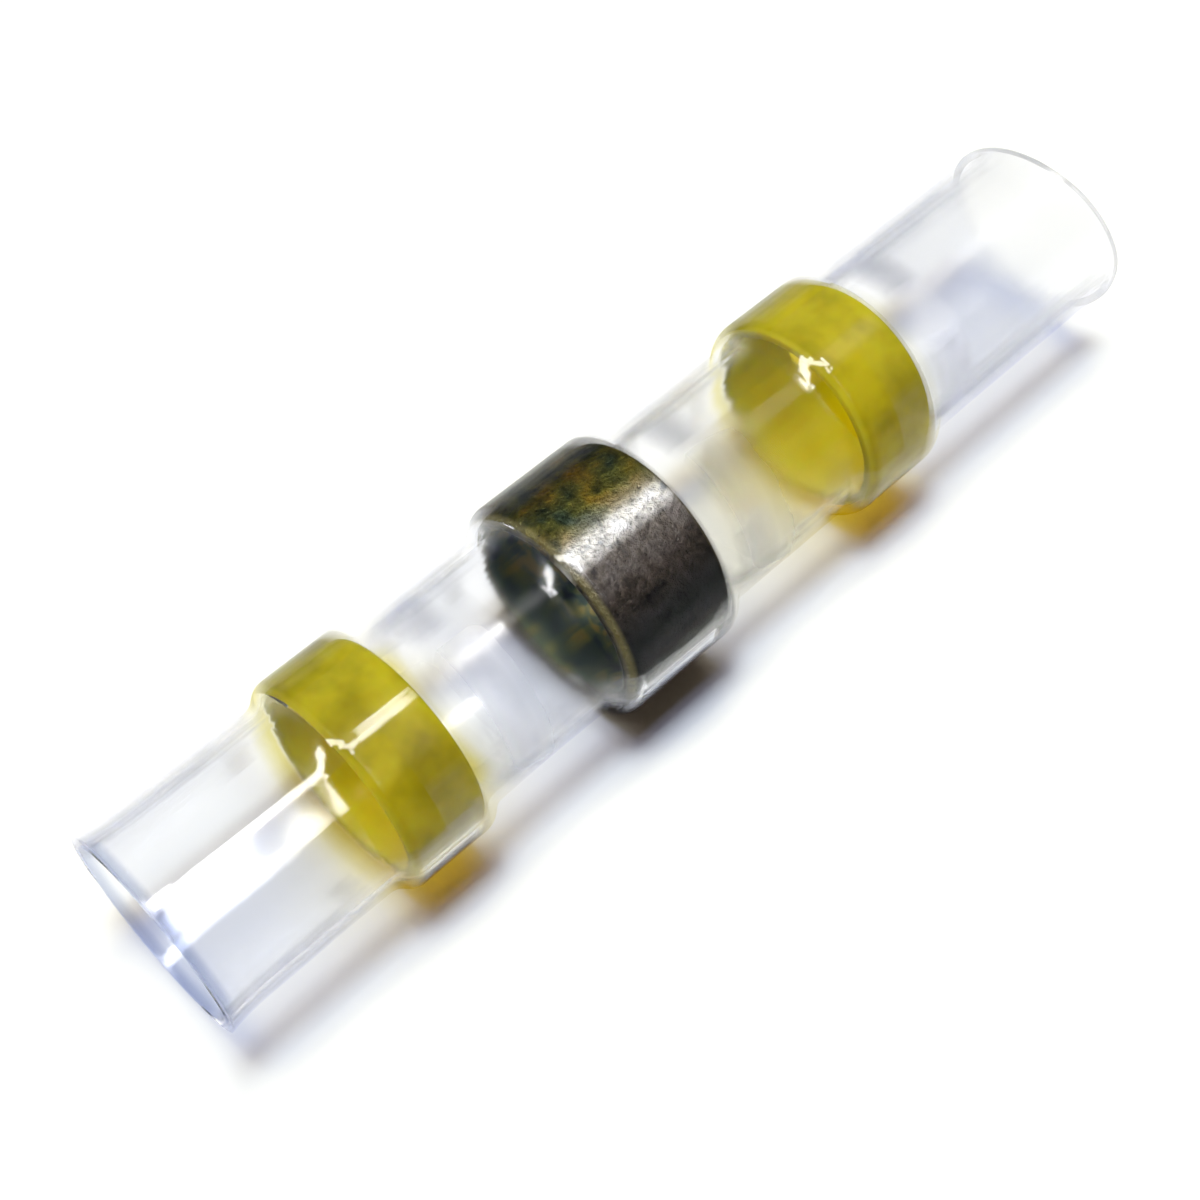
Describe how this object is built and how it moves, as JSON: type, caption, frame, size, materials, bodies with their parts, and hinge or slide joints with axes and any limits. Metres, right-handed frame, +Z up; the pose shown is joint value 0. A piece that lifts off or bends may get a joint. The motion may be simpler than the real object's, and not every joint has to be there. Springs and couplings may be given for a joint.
{
  "type": "solder seal wire connector",
  "caption": "Clear heat-shrink butt connector with a ring of solder in the middle and a yellow hot-melt sealing ring on each side, open at both ends for wires.",
  "frame": {"origin": "under the middle of the sleeve's length, on the surface that the connector lies on", "axes": "+X along the sleeve from the shorter end to the longer one, +Z up, the sleeve's axis level"},
  "size_m": [0.042, 0.0084, 0.0085],
  "materials": {
    "clear_sleeve": "clear, smooth",
    "solder": "dull, grainy, stained with flux",
    "sealant": "glossy, slightly see-through"
  },
  "bodies": {
    "root": {"heat_shrink_sleeve": "clear_sleeve", "solder_ring": "solder", "sealing_ring_left": "sealant", "sealing_ring_right": "sealant"}
  },
  "joints": []
}
